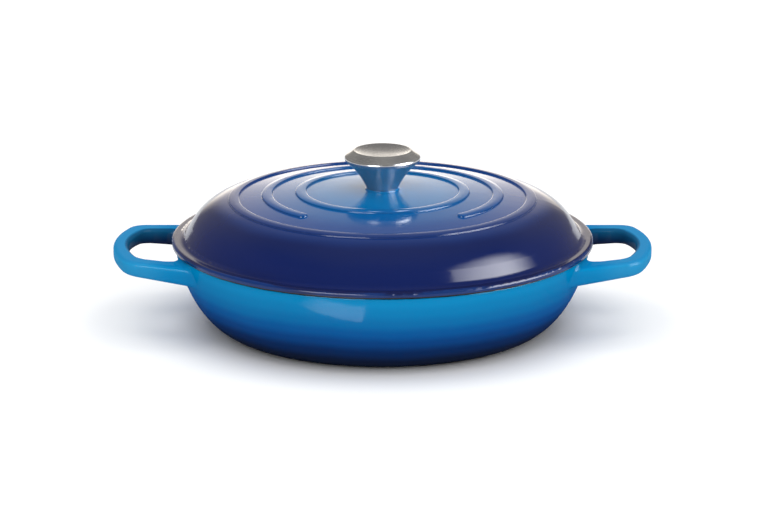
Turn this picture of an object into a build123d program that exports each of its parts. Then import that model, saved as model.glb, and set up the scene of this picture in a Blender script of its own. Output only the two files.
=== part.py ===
from build123d import *
from math import atan2, cos, degrees, radians, sin, sqrt, tan
import os

# A round shallow casserole in enamelled cast iron, with two loop handles and a domed lid.
# Lengths are in millimetres. +Z is up, and the origin is the centre of the flat base.
# The loop handles lie along X, and the break in the lid's middle ring faces -Y.
# Heights of the knob's outline are taken from the bottom of its neck.

# Pan
rim_radius = 150.4
rim_height = 61.5
rim_thickness = 4.0
rim_rounding = 1.5
base_radius = 108.0
base_thickness = 4.4
base_corner_setback = 5.0
wall_lean = 4.8
wall_foot_share = 0.471
wall_rise_share = 0.495

# Loop handles, cast in one with the pan
handle_depth = 44.6
handle_tip_bar = 11.0
handle_tip_arc = 118.0
handle_spread = 99.0
handle_arm_angle = 12.0
handle_arm_width = 11.8
handle_corner = 17.0
gap_tip_arc = 84.0
gap_corner = 13.0
gap_root_corner = 13.5
root_flare = 22.0
root_inset = 1.8
handle_drop_at_root = 2.7
handle_drop_at_tip = 0.1
handle_root_thickness = 13.0
handle_tip_thickness = 10.0
handle_start_share = 0.8
handle_rounding = 3.0
handle_blend = 5.0

# Lid casting
flange_overhang = 2.2
flange_width = 8.1
flange_thickness = 4.4
flange_edge_rounding = 2.0
flange_foot_rounding = 1.2
crown_rise = 39.3
crown_radius = 837.0
flank_angle = 57.0
shoulder_radius = 39.5
cove_radius = 5.5
lid_wall = 3.7
locating_lip_depth = 3.0
locating_lip_width = 4.0
locating_lip_rounding = 1.2
skirt_corner = 4.0
lid_play = 0.6

# Raised rings, boss and screw pad of the lid
ring_outer_shares = (0.7702, 0.6035, 0.4346)
broken_ring = 1
ring_width = 7.6
ring_rise = 1.5
ring_crown_share = 0.27
ring_rounding_share = 0.45
ring_foot_share = 0.3
ring_sink = 0.05
ring_break_angle = 86.0
boss_margin = 1.1
boss_rise = 0.8
boss_rounding = 0.5
pad_margin = 4.5
pad_drop = 0.8

# Knob
neck_radius = 11.3
knob_radius = 27.5
brim_setback = 0.5
brim_rise = 1.7
brim_slope = 0.25
flare_height = 20.5
flare_foot_slope = 0.42
flare_top_slope = 1.25
flare_foot_pull = 8.0
flare_top_pull = 6.0
knob_lip_radius = 20.9
knob_shoulder_rise = 6.0
knob_lip_rounding = 0.6
knob_sheet = 1.5
lip_land = 0.8
cap_edge = 1.5
dish_depth = 2.8
cap_ledge_width = 1.3
cap_ledge_thickness = 1.2
seat_clearance = 0.03

# Threaded insert of the knob
insert_flange_thickness = 2.4
insert_radius = 6.0
insert_length = 15.0
insert_end_wall = 2.0

# Fixing screw and washer
screw_radius = 3.0
screw_tip_gap = 2.0
thread_clearance = 0.05
hole_clearance = 0.5
head_radius = 5.6
head_height = 3.2
head_rounding = 1.5
drive_slot_width = 1.4
drive_slot_length = 6.4
drive_slot_depth = 1.6
washer_radius = 8.5
washer_thickness = 1.2
washer_clearance = 0.25

# Length by which a cutting or joining solid runs past the face it serves, and the width of a match
overrun = 5.0
match_width = 0.02

# Sizes that follow from those above
floor_radius = base_radius - base_corner_setback
handle_reach = rim_radius + handle_depth
flange_radius = rim_radius + flange_overhang
flank_foot_radius = flange_radius - flange_width
flange_top = rim_height + flange_thickness
lid_top = rim_height + crown_rise
crown_centre = lid_top - crown_radius
boss_radius = neck_radius + boss_margin
boss_top = lid_top + boss_rise
pad_radius = washer_radius + pad_margin
pad_foot = lid_top - lid_wall - pad_drop
washer_foot = pad_foot - washer_thickness
knob_widest_height = flare_height + brim_rise
knob_lip_height = knob_widest_height + knob_shoulder_rise
cap_radius = knob_lip_radius - lip_land
insert_bore_depth = insert_length - insert_end_wall
screw_reach = insert_bore_depth - screw_tip_gap


def at(radius, height):
    """A point of an outline in the XZ plane."""
    return Vector(radius, 0, height)


def turned(*edges):
    """Turn a closed outline in the XZ plane about the Z axis."""
    return revolve(Face(Wire(list(edges))), Axis.Z)


def block(radius, low, high):
    """Plain round block on the axis between two heights."""
    return Pos(0, 0, low) * Cylinder(radius, high - low, align=(Align.CENTER, Align.CENTER, Align.MIN))


def axis_arc(centre_height, radius, start, end):
    """Arc in the XZ plane about a point on the axis, between the radii of its two ends."""
    first, last = (degrees(atan2(p.Z - centre_height, p.X)) for p in (start, end))
    arc = CenterArc((0, centre_height), radius, first, last - first)
    return Plane.XZ * arc


def wall_curve(foot_radius, foot_height, top_radius):
    """Smooth bowl curve in the XZ plane, from a flat foot to a point a little above the rim."""
    top_height = rim_height + overrun
    top = at(top_radius + overrun * tan(radians(wall_lean)), top_height)
    foot = at(foot_radius, foot_height)
    foot_pull = foot + at(top.X - foot.X, 0) * wall_foot_share
    top_pull = top - at(tan(radians(wall_lean)), 1) * (top_height - foot_height) * wall_rise_share
    return Bezier(foot, foot_pull, top_pull, top)


def bowl(foot_radius, foot_height, top_radius):
    """Solid under one bowl curve."""
    curve = wall_curve(foot_radius, foot_height, top_radius)
    foot, top = curve @ 0, curve @ 1
    return turned(
        Line(at(0, foot.Z), foot),
        curve,
        Line(top, at(0, top.Z)),
        Line(at(0, top.Z), at(0, foot.Z)),
    )


def wall_radius(height):
    """Radius of the pan's outer wall at a height."""
    curve = wall_curve(base_radius, 0, rim_radius)
    low, high = 0, 1
    while (curve @ high - curve @ low).length > match_width:
        middle = (low + high) / 2
        low, high = (middle, high) if (curve @ middle).Z < height else (low, middle)
    return (curve @ low).X


def loop_outline(tip, tip_arc, half_spread, corner):
    """D-shaped outline on +X: a shallow arc at the tip, two round corners and two spreading arms."""
    root = rim_radius * handle_start_share - overrun
    spread_at_root = half_spread + (tip - root) * tan(radians(handle_arm_angle))
    arms = Polygon(
        (tip, half_spread), (root, spread_at_root), (root, -spread_at_root), (tip, -half_spread),
        align=None,
    )
    outline = arms & Pos(tip - tip_arc, 0) * Circle(tip_arc)
    return fillet(outline.vertices().sort_by(Axis.X)[-2:], corner)


def handle_top(x):
    """Height of the handle's top at a distance from the axis."""
    share = (x - rim_radius) / handle_depth
    return rim_height - handle_drop_at_root + (handle_drop_at_root - handle_drop_at_tip) * share


def handle_foot(x):
    """Height of the handle's underside at a distance from the axis."""
    share = (x - rim_radius) / handle_depth
    return handle_top(x) - handle_root_thickness + (handle_root_thickness - handle_tip_thickness) * share


def handle_plan():
    """Plan of one loop handle with its finger gap, flared where it runs into the pan."""
    inner_half_spread = handle_spread / 2 - handle_arm_width / cos(radians(handle_arm_angle))
    loop = loop_outline(handle_reach, handle_tip_arc, handle_spread / 2, handle_corner)
    gap = loop_outline(handle_reach - handle_tip_bar, gap_tip_arc, inner_half_spread, gap_corner)
    root_disc = Circle(wall_radius(handle_foot(rim_radius)) - root_inset)
    plan = loop + root_disc
    notches = [v for v in plan.vertices() if v.X > 0 and abs(v.Y) > inner_half_spread]
    roots = sorted(notches, key=lambda v: abs(Vector(v.X, v.Y).length - root_disc.radius))[:2]
    plan = fillet(roots, root_flare)
    gap = gap - root_disc
    gap_roots = gap.vertices().sort_by(Axis.X)[:2]
    return plan - fillet(gap_roots, gap_root_corner)


def handle():
    """One loop handle on +X, rising a little and thinning towards its tip."""
    start, end = rim_radius * handle_start_share, handle_reach + overrun
    side = [at(x, handle_foot(x)) for x in (start, end)] + [at(x, handle_top(x)) for x in (end, start)]
    band = extrude(Face(Wire.make_polygon(side)), amount=rim_radius, both=True)
    loop = extrude(handle_plan(), amount=rim_height + overrun) & band
    edges = [e for e in loop.edges() if abs((e @ 0).Z - (e @ 1).Z) < handle_tip_thickness]
    edges = [e for e in edges if (e @ 0.5).X > start + overrun]
    return fillet(edges, handle_rounding)


def runs_along(edge, face):
    """Whether an edge lies on a face over its whole length."""
    return all(face.distance_to(Vertex(*(edge @ share))) < match_width for share in (0.15, 0.5, 0.85))


def is_level(edge, height):
    """Whether an edge lies in the horizontal plane at a height."""
    return all(abs((edge @ share).Z - height) < match_width for share in (0, 0.5, 1))


def pan():
    """The cast pan: bowl and both loop handles in one piece, with blended roots and a soft rim."""
    bowl_solid = bowl(base_radius, 0, rim_radius)
    wall = bowl_solid.faces().filter_by(GeomType.REVOLUTION)[0]
    loop = handle()
    body = bowl_solid + loop + loop.rotate(Axis.Z, 180)
    roots = [e for e in body.edges() if e.geom_type == GeomType.BSPLINE and runs_along(e, wall)]
    body = body.fillet(handle_blend, roots)
    body -= bowl(floor_radius, base_thickness, rim_radius - rim_thickness)
    body -= block(rim_radius + overrun, rim_height, rim_height + overrun * 2)
    return body.fillet(rim_rounding, [e for e in body.edges() if is_level(e, rim_height)])


def crown_point(radius, inset=0):
    """Point of the lid's crown at a radius, or of the same crown set in by a wall."""
    return at(radius, crown_centre + sqrt((crown_radius - inset) ** 2 - radius**2))


def flank(inset=0):
    """Foot and shoulder corner of the lid's steep flank, set in by a wall."""
    outward = at(sin(radians(flank_angle)), cos(radians(flank_angle)))
    upward = at(-cos(radians(flank_angle)), sin(radians(flank_angle)))
    foot = at(flank_foot_radius, flange_top) - outward * inset
    from_centre = foot - at(0, crown_centre)
    lean = from_centre.dot(upward)
    rise = sqrt(lean**2 - from_centre.dot(from_centre) + (crown_radius - inset) ** 2) - lean
    return foot, foot + upward * rise


def lid_shell():
    """The lid's dome, flange and locating lip, turned from one outline."""
    foot, shoulder = flank()
    inner_foot, inner_shoulder = flank(lid_wall)
    lip_outer = rim_radius - rim_thickness - lid_play
    lip_inner = lip_outer - locating_lip_width
    lip_foot = rim_height - locating_lip_depth
    skirt = at(lip_inner, inner_foot.Z + (inner_foot.X - lip_inner) * tan(radians(flank_angle)))
    flange_edge, flange_foot = at(flange_radius, flange_top), at(flange_radius, rim_height)
    lip_root, lip_tip, lip_heel = at(lip_outer, rim_height), at(lip_outer, lip_foot), at(lip_inner, lip_foot)
    outline = Face(Wire([
        axis_arc(crown_centre, crown_radius, crown_point(0), shoulder),
        Line(shoulder, foot),
        Line(foot, flange_edge),
        Line(flange_edge, flange_foot),
        Line(flange_foot, lip_root),
        Line(lip_root, lip_tip),
        Line(lip_tip, lip_heel),
        Line(lip_heel, skirt),
        Line(skirt, inner_shoulder),
        axis_arc(crown_centre, crown_radius - lid_wall, inner_shoulder, crown_point(0, lid_wall)),
        Line(crown_point(0, lid_wall), crown_point(0)),
    ]))
    straight = (shoulder - foot).length - cove_radius * tan(radians(flank_angle / 2))
    soft = min(shoulder_radius, straight / tan(radians(flank_angle / 2)))
    corners = [
        (shoulder, soft),
        (foot, cove_radius),
        (flange_edge, flange_edge_rounding),
        (flange_foot, flange_foot_rounding),
        (lip_tip, locating_lip_rounding),
        (lip_heel, locating_lip_rounding),
        (skirt, skirt_corner),
        (inner_shoulder, soft - lid_wall),
    ]
    for corner, radius in corners:
        vertex = min(outline.vertices(), key=lambda v: (Vector(*v) - corner).length)
        outline = outline.fillet_2d(radius, [vertex])
    return revolve(outline, Axis.Z)


def crown_plane(radius):
    """Plane with its origin on the crown at a radius, its X down the crown and its Y square out of it."""
    origin = crown_point(radius)
    outward = (origin - at(0, crown_centre)).normalized()
    along = at(outward.Z, -outward.X)
    return Plane(origin=origin, x_dir=along, z_dir=along.cross(outward))


def ring_section(middle, inner):
    """Section of a raised ring with a crowned top and soft feet, square to the crown and sunk into it."""
    outer, sunk, foot = ring_width / 2, -lid_wall / 2, -ring_sink
    foot_rounding, crown = ring_rise * ring_foot_share, ring_rise * ring_crown_share
    reach = outer + foot_rounding + match_width
    inner_reach = inner and -reach
    crown_circle_radius = (outer**2 + crown**2) / (2 * crown)
    ridge = Polygon((inner, sunk), (outer, sunk), (outer, overrun), (inner, overrun), align=None)
    ridge &= Pos(0, ring_rise - crown_circle_radius) * Circle(crown_circle_radius)
    base = Polygon((inner_reach, sunk), (reach, sunk), (reach, foot), (inner_reach, foot), align=None)
    outline = ridge + base
    sides = [v for v in outline.vertices() if abs(abs(v.X) - outer) < match_width and v.Y > sunk / 2]
    feet = [v for v in sides if v.Y < 0]
    outline = fillet(feet, foot_rounding)
    tops = [v for v in outline.vertices() if abs(abs(v.X) - outer) < match_width and v.Y > ring_rise / 2]
    return crown_plane(middle) * fillet(tops, ring_rise * ring_rounding_share)


def raised_ring(outer_radius):
    """One raised ring that follows the crown."""
    return revolve(ring_section(outer_radius - ring_width / 2, -ring_width / 2), Axis.Z)


def raised_arc(outer_radius):
    """A raised ring that is broken towards -Y, with round ends."""
    middle = outer_radius - ring_width / 2
    plane = crown_plane(middle)
    half = ring_section(middle, 0)
    arc = revolve(ring_section(middle, -ring_width / 2), Axis.Z, 360 - ring_break_angle)
    arc += revolve(half, Axis(plane.origin, -plane.y_dir), 180)
    arc += revolve(half, Axis(plane.origin, plane.y_dir), 180).rotate(Axis.Z, -ring_break_angle)
    return arc.rotate(Axis.Z, -90 + ring_break_angle / 2)


def lid():
    """The cast lid: dome with raised rings, knob boss and a flat pad for the screw's washer."""
    body = lid_shell()
    for index, share in enumerate(ring_outer_shares):
        outer_radius = flank_foot_radius * share
        body += raised_arc(outer_radius) if index == broken_ring else raised_ring(outer_radius)
    mid_wall = lid_top - lid_wall / 2
    boss = block(boss_radius, mid_wall, boss_top)
    body += fillet(boss.edges().group_by(Axis.Z)[-1], boss_rounding)
    body += block(pad_radius, pad_foot, mid_wall)
    return body - block(screw_radius + hole_clearance, pad_foot - overrun, boss_top + overrun)


def knob_body(inset, top):
    """Round solid inside the knob's flared wall, set in by an inset, from the neck's foot to a top point."""
    brim_direction = at(flare_top_slope, 1)
    brim_normal = at(1, -flare_top_slope).normalized()
    foot = at(neck_radius - inset, 0)
    brim = at(knob_radius - brim_setback, flare_height) - brim_normal * inset
    widest = at(knob_radius - inset, knob_widest_height)
    foot_pull = foot + at(flare_foot_slope, 1) * flare_foot_pull
    brim_pull = brim - brim_direction * flare_top_pull
    return turned(
        Line(at(0, 0), foot),
        Bezier(foot, foot_pull, brim_pull, brim),
        Spline(brim, widest, top, tangents=(at(brim_slope, 1), top - widest)),
        Line(top, at(0, top.Z)),
        Line(at(0, top.Z), at(0, 0)),
    )


def knob_shell():
    """The knob's hollow pressed shell, open at the neck, with a ledge that carries the cap."""
    ledge_top = knob_lip_height - cap_edge
    ledge_foot = ledge_top - cap_ledge_thickness
    shell = knob_body(0, at(knob_lip_radius, knob_lip_height))
    shell = fillet(shell.edges().group_by(Axis.Z)[-1], knob_lip_rounding)
    shell -= knob_body(knob_sheet, at(knob_lip_radius, ledge_foot))
    shell -= block(neck_radius - knob_sheet, -overrun, knob_widest_height)
    shell -= block(cap_radius - cap_ledge_width, knob_widest_height, knob_lip_height + overrun)
    shell -= block(cap_radius, ledge_top, knob_lip_height + overrun)
    return Pos(0, 0, boss_top) * shell


def knob_cap():
    """The dished cap that closes the top of the knob, seated on the shell's ledge."""
    edge = cap_radius - seat_clearance
    inner = cap_radius - cap_ledge_width - seat_clearance
    seat = knob_lip_height - cap_edge
    dish_radius = (edge**2 + dish_depth**2) / (2 * dish_depth)
    dish_centre = knob_lip_height - dish_depth + dish_radius
    belly_radius = (inner**2 + dish_depth**2) / (2 * dish_depth)
    belly_centre = seat - dish_depth + belly_radius
    dish_foot, belly_foot = at(0, knob_lip_height - dish_depth), at(0, seat - dish_depth)
    cap = turned(
        axis_arc(belly_centre, belly_radius, belly_foot, at(inner, seat)),
        Line(at(inner, seat), at(edge, seat)),
        Line(at(edge, seat), at(edge, knob_lip_height)),
        axis_arc(dish_centre, dish_radius, at(edge, knob_lip_height), dish_foot),
        Line(dish_foot, belly_foot),
    )
    return Pos(0, 0, boss_top) * cap


def knob_insert():
    """The threaded steel insert that closes the neck and takes the fixing screw."""
    edge = neck_radius - knob_sheet - seat_clearance
    insert = block(edge, 0, insert_flange_thickness) + block(insert_radius, 0, insert_length)
    bore = block(screw_radius + thread_clearance, -overrun, insert_bore_depth)
    return Pos(0, 0, boss_top) * (insert - bore)


def knob_screw():
    """The screw that holds the knob, put in from inside the lid, with a cross recess in its head."""
    shank = block(screw_radius, washer_foot, boss_top + screw_reach)
    head = block(head_radius, washer_foot - head_height, washer_foot)
    head = fillet(head.edges().group_by(Axis.Z)[0], head_rounding)
    slot = Box(drive_slot_length, drive_slot_width, drive_slot_depth * 2)
    cross = slot + slot.rotate(Axis.Z, 90)
    return head + shank - Pos(0, 0, washer_foot - head_height) * cross


def screw_washer():
    """The plain washer between the screw's head and the lid's pad."""
    hole = block(screw_radius + washer_clearance, washer_foot - overrun, pad_foot + overrun)
    return block(washer_radius, washer_foot, pad_foot) - hole


def save(shape, node):
    """Write one named piece to its own file."""
    shape.label = node
    export_step(shape, f"parts/{node}.step")


if __name__ == "__main__":
    os.makedirs("parts", exist_ok=True)
    save(pan(), "pan")
    save(lid(), "lid")
    save(knob_shell(), "knob_shell")
    save(knob_cap(), "knob_cap")
    save(knob_insert(), "knob_insert")
    save(knob_screw(), "knob_screw")
    save(screw_washer(), "screw_washer")
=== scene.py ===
import math

import bpy
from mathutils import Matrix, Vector

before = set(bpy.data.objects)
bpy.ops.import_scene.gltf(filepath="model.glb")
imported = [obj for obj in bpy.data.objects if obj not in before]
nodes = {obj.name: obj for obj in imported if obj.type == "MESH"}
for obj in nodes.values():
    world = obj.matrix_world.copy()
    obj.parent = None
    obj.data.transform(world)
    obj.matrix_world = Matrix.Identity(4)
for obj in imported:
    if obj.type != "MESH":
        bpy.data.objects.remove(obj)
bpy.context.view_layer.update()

MM = 0.001
WHITE = (1.0, 1.0, 1.0, 1.0)


# Colours

def srgb(red, green, blue):
    """Linear colour of a colour written as screen values from 0 to 255."""
    def linear(value):
        value /= 255
        return value / 12.92 if value <= 0.04045 else ((value + 0.055) / 1.055) ** 2.4
    return (linear(red), linear(green), linear(blue), 1.0)


def spans(stops, length):
    """Ramp stops from (millimetres, screen colour) pairs over a length in millimetres."""
    return [(place / length, srgb(*colour)) for place, colour in stops]


# Node helpers

AXIS_GUARD = 1e-5


class Graph:
    """A node tree with short calls for the nodes that are used here."""

    def __init__(self, tree, output_kind):
        self.tree = tree
        self.tree.nodes.clear()
        self.output = self.add(output_kind)

    def add(self, kind, **settings):
        node = self.tree.nodes.new(kind)
        for key, value in settings.items():
            setattr(node, key, value)
        return node

    def link(self, source, target):
        self.tree.links.new(source, target)

    def feed(self, socket, value):
        """Link a socket to another node's output, or set its number or colour."""
        if isinstance(value, bpy.types.NodeSocket):
            self.link(value, socket)
        else:
            socket.default_value = value

    def math(self, operation, *values):
        node = self.add("ShaderNodeMath", operation=operation)
        for socket, value in zip(node.inputs, values):
            self.feed(socket, value)
        return node.outputs[0]

    def total(self, first, second):
        return self.math("ADD", first, second)

    def product(self, first, second):
        return self.math("MULTIPLY", first, second)

    def distance(self, first, second):
        """Length of a flat vector."""
        return self.math("SQRT", self.total(self.product(first, first), self.product(second, second)))

    def smooth(self, value, low, high, to_low=0.0, to_high=1.0):
        """Value mapped smoothly from one span to another."""
        node = self.add("ShaderNodeMapRange", interpolation_type="SMOOTHSTEP")
        for socket, number in zip(node.inputs, (value, low, high, to_low, to_high)):
            self.feed(socket, number)
        return node.outputs[0]

    def across(self, value, edges, to_low=0.0, to_high=1.0):
        """Length mapped smoothly between two edges in millimetres."""
        return self.smooth(value, edges[0] * MM, edges[1] * MM, to_low, to_high)

    def ramp(self, value, stops):
        """Colour of a value between 0 and 1 along a list of (place, colour)."""
        node = self.add("ShaderNodeValToRGB")
        node.color_ramp.interpolation = "EASE"
        elements = node.color_ramp.elements
        while len(elements) < len(stops):
            elements.new(1.0)
        for element, (place, colour) in zip(elements, stops):
            element.position = place
            element.color = colour
        self.link(value, node.inputs[0])
        return node.outputs[0]

    def mix(self, share, first, second):
        """Colour between two colours."""
        node = self.add("ShaderNodeMix", data_type="RGBA")
        for socket, value in zip((node.inputs[0], node.inputs[6], node.inputs[7]), (share, first, second)):
            self.feed(socket, value)
        return node.outputs[2]

    def blend(self, share, first, second):
        """Number between two numbers."""
        node = self.add("ShaderNodeMix", data_type="FLOAT")
        for socket, value in zip((node.inputs[0], node.inputs[2], node.inputs[3]), (share, first, second)):
            self.feed(socket, value)
        return node.outputs[0]

    def noise(self, vector, scale, detail=3.0, roughness=0.5):
        node = self.add("ShaderNodeTexNoise")
        self.link(vector, node.inputs["Vector"])
        node.inputs["Scale"].default_value = scale
        node.inputs["Detail"].default_value = detail
        node.inputs["Roughness"].default_value = roughness
        return node.outputs[0]

    def drift(self, scale, width):
        """Random shift either way by up to half a width in millimetres."""
        return self.product(self.math("SUBTRACT", self.noise(self.position, scale), 0.5), width * MM)

    def bump(self, height, distance, strength, normal=None):
        """Relief of a height between 0 and 1 times a distance in metres."""
        node = self.add("ShaderNodeBump")
        node.inputs["Strength"].default_value = strength
        node.inputs["Distance"].default_value = distance
        self.link(height, node.inputs["Height"])
        if normal is not None:
            self.link(normal, node.inputs["Normal"])
        return node.outputs[0]

    def place(self):
        """Make sockets of the position, the distance from the axis, and the surface's lean."""
        coordinates = self.add("ShaderNodeTexCoord")
        self.position = coordinates.outputs["Object"]
        split = self.add("ShaderNodeSeparateXYZ")
        self.link(self.position, split.inputs[0])
        self.x, self.y, self.z = split.outputs
        self.radius = self.distance(self.x, self.y)
        lean = self.add("ShaderNodeSeparateXYZ")
        self.link(coordinates.outputs["Normal"], lean.inputs[0])
        self.nx, self.ny, self.upward = lean.outputs
        along = self.total(self.product(self.nx, self.x), self.product(self.ny, self.y))
        self.outward = self.math("DIVIDE", along, self.math("MAXIMUM", self.radius, AXIS_GUARD))

    def surface(self, **inputs):
        """Principled shader, whose inputs are named in small letters with underscores."""
        node = self.add("ShaderNodeBsdfPrincipled")
        for key, value in inputs.items():
            self.feed(node.inputs[key.replace("_", " ").title().replace("Ior", "IOR")], value)
        self.link(node.outputs[0], self.output.inputs[0])
        return node


def new_material(name):
    """Material and the empty graph of its nodes."""
    material = bpy.data.materials.new(name)
    material.use_nodes = True
    return material, Graph(material.node_tree, "ShaderNodeOutputMaterial")


# Enamel

CREAM = srgb(214, 204, 182)
CREAM_SPECK = srgb(186, 172, 146)
RIM_BLACK = srgb(26, 25, 27)
# Painted shade: darker blue for faces that look upward.
SHADED_TOP_BLUE = srgb(0, 104, 164)
# Painted shade: dark navy for the finger gaps.
GAP_SHADE_NAVY = srgb(12, 26, 60)
# Painted sheen: paler azure for the handles.
HANDLE_SHEEN_AZURE = srgb(96, 184, 220)

SPECK_SCALE = 900.0
WAVE_SCALE = 70.0
PEEL_SCALE = 420.0
GRAIN_SCALE = 2600.0
WAVE_DEPTH = 0.1 * MM
PEEL_DEPTH = 0.012 * MM
GRAIN_DEPTH = 0.06 * MM
EDGE_ROUNDING = 0.8 * MM
EDGE_SCALE = 160.0
INSIDE_ROUGHNESS = 0.16
BARE_ROUGHNESS = 0.48


def enamel(graph, glaze, inside, bare, rough, **finish):
    """Gloss enamel: the glaze outside, cream and matt black where the inside and bare masks say."""
    speck = graph.noise(graph.position, SPECK_SCALE, 2.0, 0.6)
    cream = graph.mix(graph.smooth(speck, 0.56, 0.72), CREAM, CREAM_SPECK)
    colour = graph.mix(inside, glaze, cream)
    colour = graph.mix(bare, colour, RIM_BLACK)
    wave = graph.noise(graph.position, WAVE_SCALE, 2.0)
    peel = graph.noise(graph.position, PEEL_SCALE, 2.0)
    grain = graph.noise(graph.position, GRAIN_SCALE, 2.0)
    rounded = graph.add("ShaderNodeBevel", samples=8)
    rounded.inputs["Radius"].default_value = EDGE_ROUNDING
    relief = graph.bump(wave, WAVE_DEPTH, 0.5, rounded.outputs[0])
    relief = graph.bump(peel, PEEL_DEPTH, 0.5, relief)
    relief = graph.bump(graph.product(grain, bare), GRAIN_DEPTH, 0.8, relief)
    roughness = graph.total(rough, graph.smooth(peel, 0.2, 0.8, -0.015, 0.015))
    roughness = graph.blend(inside, roughness, INSIDE_ROUGHNESS)
    roughness = graph.blend(bare, roughness, BARE_ROUGHNESS)
    surface = graph.surface(base_color=colour, roughness=roughness, normal=relief, **finish)
    graph.link(relief, surface.inputs["Coat Normal"])


# The pan, with its places and edges in millimetres

PAN_HEIGHT = 62
PAN_GLAZE = [
    (0, (15, 26, 48)),
    (7, (16, 31, 62)),
    (16, (3, 43, 95)),
    (25, (2, 68, 134)),
    (33, (0, 90, 159)),
    (41, (0, 112, 174)),
    (50, (0, 128, 186)),
    (58, (1, 140, 197)),
]
PAN_DRIFT = 5
PAN_DRIFT_SCALE = 16.0
PAN_ROUGHNESS = 0.07
BOWL_WALL = (149.2, 148.0)
RIM_TOP = (60.4, 60.7)
RIM_INNER = (145.6, 145.9)
RIM_OUTER = (150.9, 150.6)
RIM_WOBBLE = 0.6
HANDLE_START = (150, 172)
GAP_CENTRE = 167
GAP_REACH = (75, 60)
GAP_START = (147, 151)
GAP_HEIGHT = (62, 48)
SHADED_TOP_SHARE = 0.6
HANDLE_SHEEN_SHARE = 0.15


def painted_gap_shade(graph, sideways):
    """Share of painted shade: dark navy on the walls that face into the finger gaps, stronger lower down.
    """
    side = graph.math("SIGN", graph.x)
    away_x = graph.math("SUBTRACT", graph.x, graph.product(side, GAP_CENTRE * MM))
    along = graph.total(graph.product(graph.nx, away_x), graph.product(graph.ny, graph.y))
    reach = graph.distance(away_x, graph.y)
    facing = graph.smooth(graph.math("DIVIDE", along, reach), -0.05, -0.5)
    near = graph.across(reach, GAP_REACH)
    beyond = graph.across(sideways, GAP_START)
    low = graph.across(graph.z, GAP_HEIGHT, 0.6, 1.0)
    return graph.product(graph.product(facing, near), graph.product(beyond, low))


def pan_material():
    """Azure at the rim and the handles, navy at the foot, cream inside, black on the rim's top, with
    painted shade on upward faces and in the finger gaps and a painted sheen on the handles.
    """
    material, graph = new_material("pan_enamel")
    graph.place()
    wandering = graph.total(graph.z, graph.drift(PAN_DRIFT_SCALE, PAN_DRIFT))
    height = graph.math("DIVIDE", wandering, PAN_HEIGHT * MM)
    glaze = graph.ramp(height, spans(PAN_GLAZE, PAN_HEIGHT))
    # Painted shade: faces that look upward, mostly the handle tops, are mixed towards a darker blue.
    level = graph.product(graph.smooth(graph.upward, 0.3, 0.9), SHADED_TOP_SHARE)
    glaze = graph.mix(level, glaze, SHADED_TOP_BLUE)
    sideways = graph.math("ABSOLUTE", graph.x)
    # Painted sheen: the handles are mixed towards a paler azure, standing in for the extra light they
    # catch.
    handle = graph.product(graph.across(sideways, HANDLE_START), HANDLE_SHEEN_SHARE)
    glaze = graph.mix(handle, glaze, HANDLE_SHEEN_AZURE)
    # Painted shade: walls that face into the finger gaps turn dark navy.
    glaze = graph.mix(painted_gap_shade(graph, sideways), glaze, GAP_SHADE_NAVY)
    facing = graph.smooth(graph.math("SUBTRACT", graph.product(graph.upward, 0.5), graph.outward), 0.0, 0.1)
    inside = graph.product(graph.across(graph.radius, BOWL_WALL), facing)
    rim = graph.across(graph.total(graph.z, graph.drift(EDGE_SCALE, RIM_WOBBLE)), RIM_TOP)
    ring = graph.product(graph.across(graph.radius, RIM_INNER), graph.across(graph.radius, RIM_OUTER))
    enamel(graph, glaze, inside, graph.product(rim, ring), PAN_ROUGHNESS, specular_ior_level=0.0,
           coat_weight=0.05, coat_ior=2.2, coat_roughness=0.12)
    return material


# The lid, with its places and edges in millimetres

LID_RADIUS = 154
LID_GLAZE = [
    (10, (0, 116, 178)),
    (40, (0, 106, 166)),
    (70, (4, 86, 150)),
    (98, (12, 66, 134)),
    (113, (20, 48, 108)),
    (126, (18, 32, 82)),
    (142, (12, 30, 88)),
    (151, (18, 26, 70)),
    (153, (14, 48, 108)),
]
LID_DRIFT = 9
LID_DRIFT_SCALE = 14.0
SHOULDER = (118, 126)
FLANGE_START = (142, 143)
LIP_TOP = (61.48, 61.3)
CREAM_END = (140.9, 141.5)
CREAM_WOBBLE = 0.8
FLANGE_EDGE = (150.5, 151.8)


def lid_material():
    """Azure at the middle, navy on the flange, cream inside, black under the flange and on the lip."""
    material, graph = new_material("lid_enamel")
    graph.place()
    wandering = graph.total(graph.radius, graph.drift(LID_DRIFT_SCALE, LID_DRIFT))
    reach = graph.math("DIVIDE", wandering, LID_RADIUS * MM)
    glaze = graph.ramp(reach, spans(LID_GLAZE, LID_RADIUS))
    leaning = graph.smooth(graph.upward, -0.03, -0.12)
    facing_down = graph.smooth(graph.upward, -0.40, -0.55)
    below = graph.blend(graph.across(graph.radius, SHOULDER), facing_down, leaning)
    flat_down = graph.smooth(graph.upward, -0.12, -0.35)
    below = graph.blend(graph.across(graph.radius, FLANGE_START), below, flat_down)
    hidden = graph.math("MAXIMUM", below, graph.across(graph.z, LIP_TOP))
    outer = graph.across(graph.total(graph.radius, graph.drift(EDGE_SCALE, CREAM_WOBBLE)), CREAM_END)
    bare = graph.product(outer, hidden)
    inside = graph.product(graph.math("SUBTRACT", 1.0, outer), hidden)
    rough = graph.across(graph.radius, FLANGE_EDGE, 0.11, 0.17)
    enamel(graph, glaze, inside, bare, rough, specular_ior_level=0.28)
    return material


# Steel

SMUDGE_SCALE = 60.0
MARK_SCALE = 1100.0
MARK_SHADE = 0.72


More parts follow.
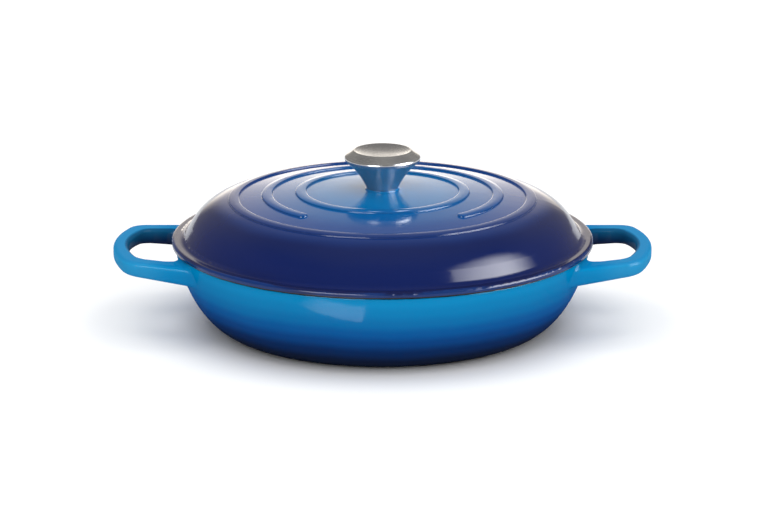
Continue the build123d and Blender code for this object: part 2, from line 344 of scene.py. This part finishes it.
def steel_material(name, colour, roughness, lines, depth, metal):
    """Steel with fine turned lines round the axis, small marks and faint smudges."""
    material, graph = new_material(name)
    graph.place()
    joined = graph.add("ShaderNodeCombineXYZ")
    graph.link(graph.radius, joined.inputs[0])
    graph.link(graph.z, joined.inputs[2])
    turned = graph.noise(joined.outputs[0], lines, 4.0, 0.7)
    smudge = graph.noise(graph.position, SMUDGE_SCALE)
    rough = graph.total(graph.smooth(turned, 0.25, 0.75, -0.04, 0.05),
                        graph.smooth(smudge, 0.3, 0.7, roughness - 0.02, roughness + 0.03))
    relief = graph.bump(turned, depth, 0.6)
    speckle = graph.noise(graph.position, MARK_SCALE, 2.0, 0.6)
    marks = graph.smooth(graph.total(turned, speckle), 0.75, 1.25)
    darker = tuple(value * MARK_SHADE for value in colour)
    graph.surface(base_color=graph.mix(marks, colour + (1.0,), darker + (1.0,)), metallic=metal,
                  roughness=rough, normal=relief)
    return material


def dress(node, material):
    slots = nodes[node].data.materials
    slots.clear()
    slots.append(material)


dress("pan", pan_material())
dress("lid", lid_material())
dress("knob_shell", steel_material("shell_steel", (0.585, 0.60, 0.625), roughness=0.17, lines=2600.0,
                                   depth=0.008 * MM, metal=0.85))
dress("knob_cap", steel_material("cap_steel", (0.455, 0.465, 0.50), roughness=0.26, lines=1500.0,
                                 depth=0.04 * MM, metal=0.88))
fixing_steel = steel_material("fixing_steel", (0.66, 0.66, 0.67), roughness=0.24, lines=5000.0,
                              depth=0.01 * MM, metal=0.93)
for name in ("knob_insert", "knob_screw", "screw_washer"):
    dress(name, fixing_steel)


# Floor

FLOOR_HALF = 9.0
FLOOR_PALE = (0.84, 0.84, 0.85, 1.0)


def stage_quad(name, corners):
    """Stage piece of one four-sided face, and the empty graph of its material."""
    mesh = bpy.data.meshes.new(name)
    mesh.from_pydata(corners, [], [(0, 1, 2, 3)])
    piece = bpy.data.objects.new(name, mesh)
    bpy.context.scene.collection.objects.link(piece)
    material, graph = new_material(name)
    mesh.materials.append(material)
    return piece, graph


def floor():
    """Pale floor that shows white to the camera and in reflections, and keeps the shadow."""
    half = FLOOR_HALF
    corners = [(-half, -half, 0), (half, -half, 0), (half, half, 0), (-half, half, 0)]
    graph = stage_quad("floor", corners)[1]
    rays = graph.add("ShaderNodeLightPath").outputs
    mirrored = graph.math("MAXIMUM", rays["Is Glossy Ray"], rays["Is Transmission Ray"])
    seen = graph.math("MAXIMUM", rays["Is Camera Ray"], mirrored)
    diffuse = graph.add("ShaderNodeBsdfDiffuse")
    graph.link(graph.mix(seen, FLOOR_PALE, WHITE), diffuse.inputs[0])
    graph.link(diffuse.outputs[0], graph.output.inputs[0])


floor()


# Lamps

LAMP_COLOUR = (1.02, 1.0, 0.95)


def direction(azimuth, elevation):
    """Unit vector towards an azimuth from -Y, positive towards +X, and an elevation, in degrees."""
    a, e = math.radians(azimuth), math.radians(elevation)
    return Vector((math.sin(a) * math.cos(e), -math.cos(a) * math.cos(e), math.sin(e)))


def sun(name, azimuth, elevation, spread, share):
    """Wide soft sun that gives a share of the light a plain surface facing it needs to show its colour."""
    data = bpy.data.lights.new(name, "SUN")
    data.energy = share * math.pi
    data.color = LAMP_COLOUR
    data.angle = math.radians(spread)
    light = bpy.data.objects.new(name, data)
    light.rotation_mode = "QUATERNION"
    light.rotation_quaternion = direction(azimuth, elevation).to_track_quat("Z", "Y")
    light.visible_glossy = False
    bpy.context.scene.collection.objects.link(light)


sun("top_light", azimuth=0, elevation=88, spread=60, share=0.44)
sun("front_light", azimuth=4, elevation=40, spread=70, share=0.29)
sun("side_light", azimuth=78, elevation=22, spread=60, share=0.12)


# Softboxes and a bright patch of table, which show only in reflections

CARD_BOTTOM = 0.02
GLOW_HEIGHT = 2 * MM


def shine(piece, graph, radiance):
    """Let a stage piece send out a radiance that shows only in reflections."""
    emission = graph.add("ShaderNodeEmission")
    graph.link(radiance, emission.inputs["Strength"])
    graph.link(emission.outputs[0], graph.output.inputs[0])
    piece.visible_camera = False
    piece.visible_diffuse = False
    piece.visible_shadow = False


def card(name, azimuth, distance, width, high, radiance, top_fade, back_fade):
    """Standing softbox that fades towards its top and its rear edge."""
    half = width / 2
    corners = [(-half, 0, CARD_BOTTOM), (half, 0, CARD_BOTTOM), (half, 0, high), (-half, 0, high)]
    piece, graph = stage_quad(name, corners)
    piece.location = direction(azimuth, 0) * distance
    piece.rotation_euler.z = math.radians(azimuth)
    graph.place()
    rear = graph.product(graph.x, math.copysign(1.0, azimuth))
    bright = graph.smooth(graph.z, high, high - top_fade, 0.0, radiance)
    shine(piece, graph, graph.product(bright, graph.smooth(rear, half, half - back_fade)))


def glow(name, left, right, front, back, radiance):
    """Bright patch of table between edges in metres, which fades towards its left edge."""
    corners = [(left, front, GLOW_HEIGHT), (right, front, GLOW_HEIGHT), (right, back, GLOW_HEIGHT),
               (left, back, GLOW_HEIGHT)]
    piece, graph = stage_quad(name, corners)
    graph.place()
    shine(piece, graph, graph.smooth(graph.x, left, (left + right) / 2, 0.0, radiance))


card("left_box", azimuth=-27, distance=1.6, width=0.95, high=0.85,
     radiance=13.0, top_fade=0.25, back_fade=0.1)
card("right_box", azimuth=76, distance=1.6, width=1.76, high=2.3,
     radiance=18.0, top_fade=1.4, back_fade=0.8)
glow("left_glow", left=-125 * MM, right=-22 * MM, front=-214 * MM, back=-176 * MM, radiance=9.0)


# World: strengths in reflections as (sine of the elevation, strength)

BACKDROP = [(0.0, 3.9), (0.08, 3.6), (0.13, 2.2), (0.18, 1.55), (0.27, 1.15),
            (0.35, 0.85), (0.45, 0.45), (0.6, 0.3), (0.78, 0.25), (1.0, 0.27)]
ROOM = [(0.0, 0.27), (0.6, 0.27), (0.78, 0.18), (0.9, 0.2), (1.0, 0.27)]
LADDER_TOP = 4.0
BACKDROP_SIDES = (0.34, 0.02)
BACKDROP_START = (0.0, 0.3)
EVEN_LIGHT = 0.48
EVEN_TINT = (0.97, 1.0, 1.07, 1.0)
REFLECTED_TINT = (1.06, 0.97, 0.84, 1.0)


def ladder(graph, value, steps):
    """Strength of a value between 0 and 1 along a list of (place, strength)."""
    node = graph.add("ShaderNodeFloatCurve")
    curve = node.mapping.curves[0]
    while len(curve.points) < len(steps):
        curve.points.new(0.5, 0.5)
    for point, (place, strength) in zip(curve.points, steps):
        point.location = (place, strength / LADDER_TOP)
        point.handle_type = "VECTOR"
    node.mapping.update()
    graph.link(value, node.inputs[1])
    return graph.product(node.outputs[0], LADDER_TOP)


def studio_world():
    """Plain even light, with a bright backdrop behind and a dim room in front for the gloss to show."""
    world = bpy.data.worlds.new("studio")
    bpy.context.scene.world = world
    world.use_nodes = True
    graph = Graph(world.node_tree, "ShaderNodeOutputWorld")
    split = graph.add("ShaderNodeSeparateXYZ")
    graph.link(graph.add("ShaderNodeTexCoord").outputs["Generated"], split.inputs[0])
    sideways, rearward, upward = split.outputs
    height = graph.math("MAXIMUM", upward, 0.0)
    middle = graph.smooth(graph.math("ABSOLUTE", sideways), *BACKDROP_SIDES)
    facing = graph.product(middle, graph.smooth(rearward, *BACKDROP_START))
    reflected = graph.blend(facing, ladder(graph, height, ROOM), ladder(graph, height, BACKDROP))
    rays = graph.add("ShaderNodeLightPath").outputs
    strength = graph.blend(rays["Is Diffuse Ray"], reflected, EVEN_LIGHT)
    strength = graph.blend(rays["Is Camera Ray"], strength, 1.0)
    tint = graph.mix(rays["Is Diffuse Ray"], REFLECTED_TINT, EVEN_TINT)
    tint = graph.mix(rays["Is Camera Ray"], tint, WHITE)
    background = graph.add("ShaderNodeBackground")
    graph.link(tint, background.inputs[0])
    graph.link(strength, background.inputs[1])
    graph.link(background.outputs[0], graph.output.inputs[0])


studio_world()


# Camera, fitted to the photograph: 765 pixels wide, with a focal length of 4134 of its pixels

PHOTO_WIDTH = 765
FOCAL_PIXELS = 4134
SENSOR_WIDTH = 36.0
TARGET = Vector((0, 0, 51.2 * MM))
CAMERA_DISTANCE = 3.0
CAMERA_ELEVATION = 15.4
FAR_CLIP = 60.0

camera_data = bpy.data.cameras.new("camera")
camera_data.sensor_width = SENSOR_WIDTH
camera_data.lens = FOCAL_PIXELS / PHOTO_WIDTH * SENSOR_WIDTH
camera_data.clip_end = FAR_CLIP
camera = bpy.data.objects.new("camera", camera_data)
camera.location = TARGET + direction(0, CAMERA_ELEVATION) * CAMERA_DISTANCE
camera.rotation_mode = "QUATERNION"
camera.rotation_quaternion = (camera.location - TARGET).to_track_quat("Z", "Y")
bpy.context.scene.collection.objects.link(camera)
bpy.context.scene.camera = camera
bpy.context.scene.view_settings.view_transform = "Standard"
